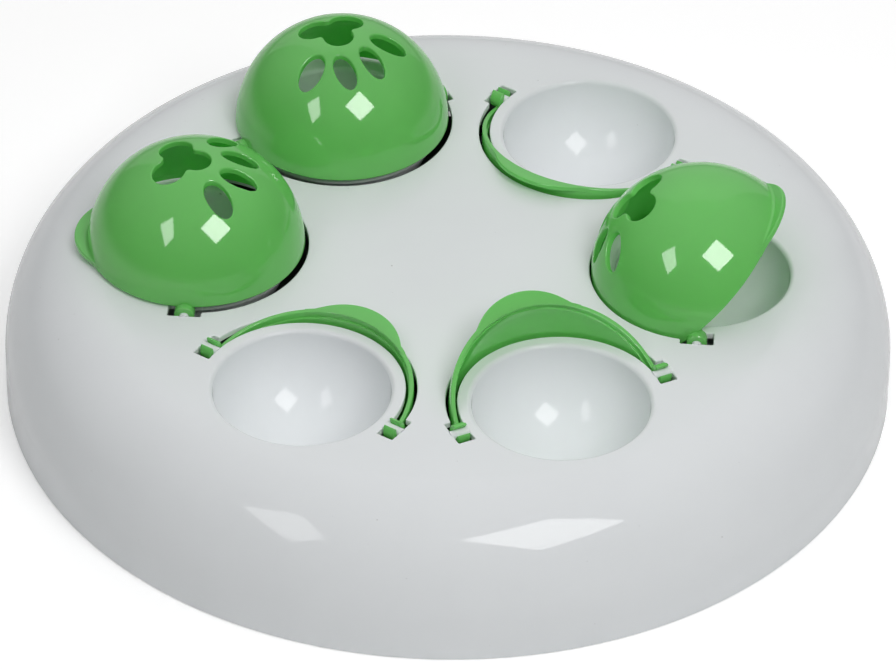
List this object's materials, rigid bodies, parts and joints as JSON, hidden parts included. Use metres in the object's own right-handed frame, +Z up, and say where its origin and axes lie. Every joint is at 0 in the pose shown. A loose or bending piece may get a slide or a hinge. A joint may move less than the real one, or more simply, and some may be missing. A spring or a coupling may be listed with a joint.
{
  "type": "dog puzzle toy",
  "caption": "Low round dog puzzle toy: a glossy white body with treat cups, each under a green paw-print dome that flips on a clip hinge into a half-round slot.",
  "frame": {"origin": "on the floor under the middle of the round body", "axes": "+Z up out of the flat top; +X through the middle of cup 1; the other cups follow every 60 degrees, anticlockwise seen from above"},
  "size_m": [0.36, 0.36, 0.1032],
  "materials": {
    "body_white": "glossy moulded white plastic",
    "dome_green": "glossy moulded green plastic",
    "foot_rubber": "matt dark rubber"
  },
  "bodies": {
    "body": {"body_top": "body_white", "body_skirt": "body_white", "cup_1": "body_white", "cup_2": "body_white", "cup_3": "body_white", "cup_4": "body_white", "cup_5": "body_white", "cup_6": "body_white", "foot_1": "foot_rubber", "foot_2": "foot_rubber", "foot_3": "foot_rubber", "foot_4": "foot_rubber", "foot_5": "foot_rubber", "foot_6": "foot_rubber"},
    "dome_1": {"flip_dome_1": "dome_green"},
    "dome_2": {"flip_dome_2": "dome_green"},
    "dome_3": {"flip_dome_3": "dome_green"},
    "dome_4": {"flip_dome_4": "dome_green"},
    "dome_5": {"flip_dome_5": "dome_green"},
    "dome_6": {"flip_dome_6": "dome_green"}
  },
  "joints": [
    {"name": "flip_1", "type": "hinge", "parent": "body", "child": "dome_1", "pos_m": [0.1024, 0, 0.0583], "axis": [0, -1, 0], "range_deg": [-46, 123]},
    {"name": "flip_2", "type": "hinge", "parent": "body", "child": "dome_2", "pos_m": [0.0512, 0.08868, 0.0583], "axis": [0.866, -0.5, 0], "range_deg": [-168, 1]},
    {"name": "flip_3", "type": "hinge", "parent": "body", "child": "dome_3", "pos_m": [-0.0512, 0.08868, 0.0583], "axis": [0.866, 0.5, 0], "range_deg": [0, 169]},
    {"name": "flip_4", "type": "hinge", "parent": "body", "child": "dome_4", "pos_m": [-0.1024, 0, 0.0583], "axis": [0, 1, 0], "range_deg": [0, 169]},
    {"name": "flip_5", "type": "hinge", "parent": "body", "child": "dome_5", "pos_m": [-0.0512, -0.08868, 0.0583], "axis": [-0.866, 0.5, 0], "range_deg": [-167, 2]},
    {"name": "flip_6", "type": "hinge", "parent": "body", "child": "dome_6", "pos_m": [0.0512, -0.08868, 0.0583], "axis": [-0.866, -0.5, 0], "range_deg": [-146, 23]}
  ]
}
